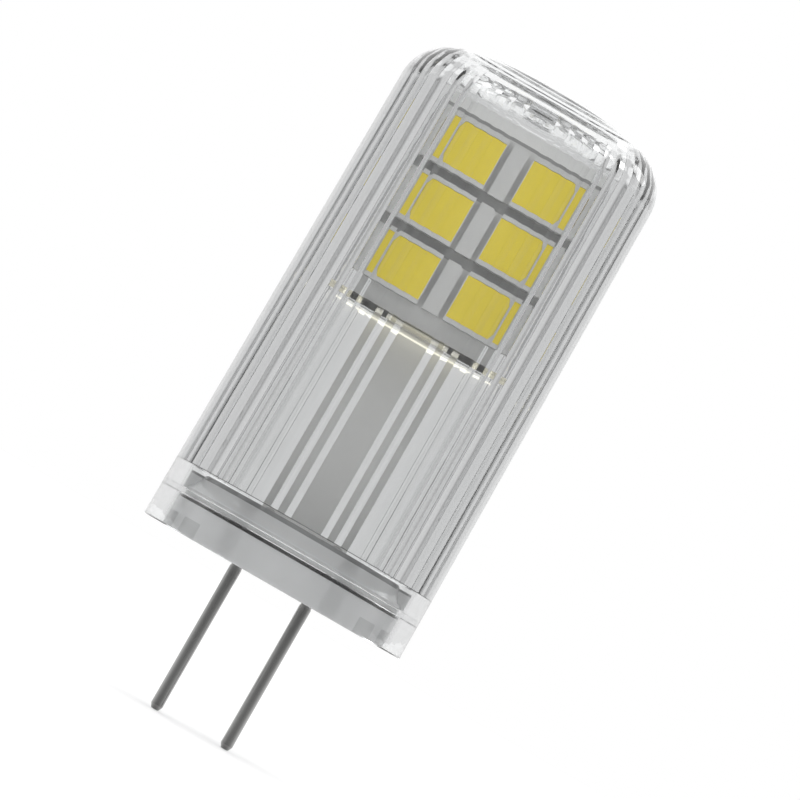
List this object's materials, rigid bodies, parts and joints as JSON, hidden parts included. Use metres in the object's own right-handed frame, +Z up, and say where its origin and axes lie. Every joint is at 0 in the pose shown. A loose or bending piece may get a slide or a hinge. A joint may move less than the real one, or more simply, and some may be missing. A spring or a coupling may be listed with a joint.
{
  "type": "led capsule bulb",
  "caption": "Two-pin LED capsule lamp: clear fluted cover with a domed top over an upright board of yellow LED packages, on a moulded base plug.",
  "frame": {"origin": "on the base face, midway between the two contact pins", "axes": "+Z up through the dome, X through both pins, -Y is the way the LED face in the picture looks"},
  "size_m": [0.0148, 0.0146, 0.0368],
  "materials": {
    "cover": "clear, polished outside, fine flutes inside",
    "plug": "clear with a soft satin face",
    "pins": "drawn, tinned",
    "solder": "satin solder",
    "driver_board": "light grey solder mask",
    "plate": "pale, smooth",
    "led_board": "pale grey solder mask",
    "led_housing": "white moulding, satin",
    "phosphor": "yellow filled silicone, smooth",
    "land": "pale, satin",
    "link_wire": "tinned wire",
    "black_moulding": "black epoxy moulding, fine grain",
    "ferrite": "dark grey ferrite",
    "capacitor": "tan ceramic",
    "resistor": "black film on ceramic"
  },
  "bodies": {
    "root": {"base_plug": "plug", "bridge_rectifier": "black_moulding", "capacitor_1": "capacitor", "capacitor_2": "capacitor", "contact_pin_left": "pins", "contact_pin_right": "pins", "cover": "cover", "driver_board": "driver_board", "driver_chip": "black_moulding", "inductor": "ferrite", "land_back_1": "land", "land_back_2": "land", "land_back_3": "land", "land_front_1": "land", "land_front_2": "land", "land_front_3": "land", "led_back_left_1": "led_housing", "led_back_left_2": "led_housing", "led_back_left_3": "led_housing", "led_back_right_1": "led_housing", "led_back_right_2": "led_housing", "led_back_right_3": "led_housing", "led_board": "led_board", "led_front_left_1": "led_housing", "led_front_left_2": "led_housing", "led_front_left_3": "led_housing", "led_front_right_1": "led_housing", "led_front_right_2": "led_housing", "led_front_right_3": "led_housing", "link_wire_left": "link_wire", "link_wire_right": "link_wire", "locating_plate": "plate", "phosphor_back_left_1": "phosphor", "phosphor_back_left_2": "phosphor", "phosphor_back_left_3": "phosphor", "phosphor_back_right_1": "phosphor", "phosphor_back_right_2": "phosphor", "phosphor_back_right_3": "phosphor", "phosphor_front_left_1": "phosphor", "phosphor_front_left_2": "phosphor", "phosphor_front_left_3": "phosphor", "phosphor_front_right_1": "phosphor", "phosphor_front_right_2": "phosphor", "phosphor_front_right_3": "phosphor", "pin_solder_left": "solder", "pin_solder_right": "solder", "resistor_1": "resistor", "resistor_2": "resistor"}
  },
  "joints": []
}
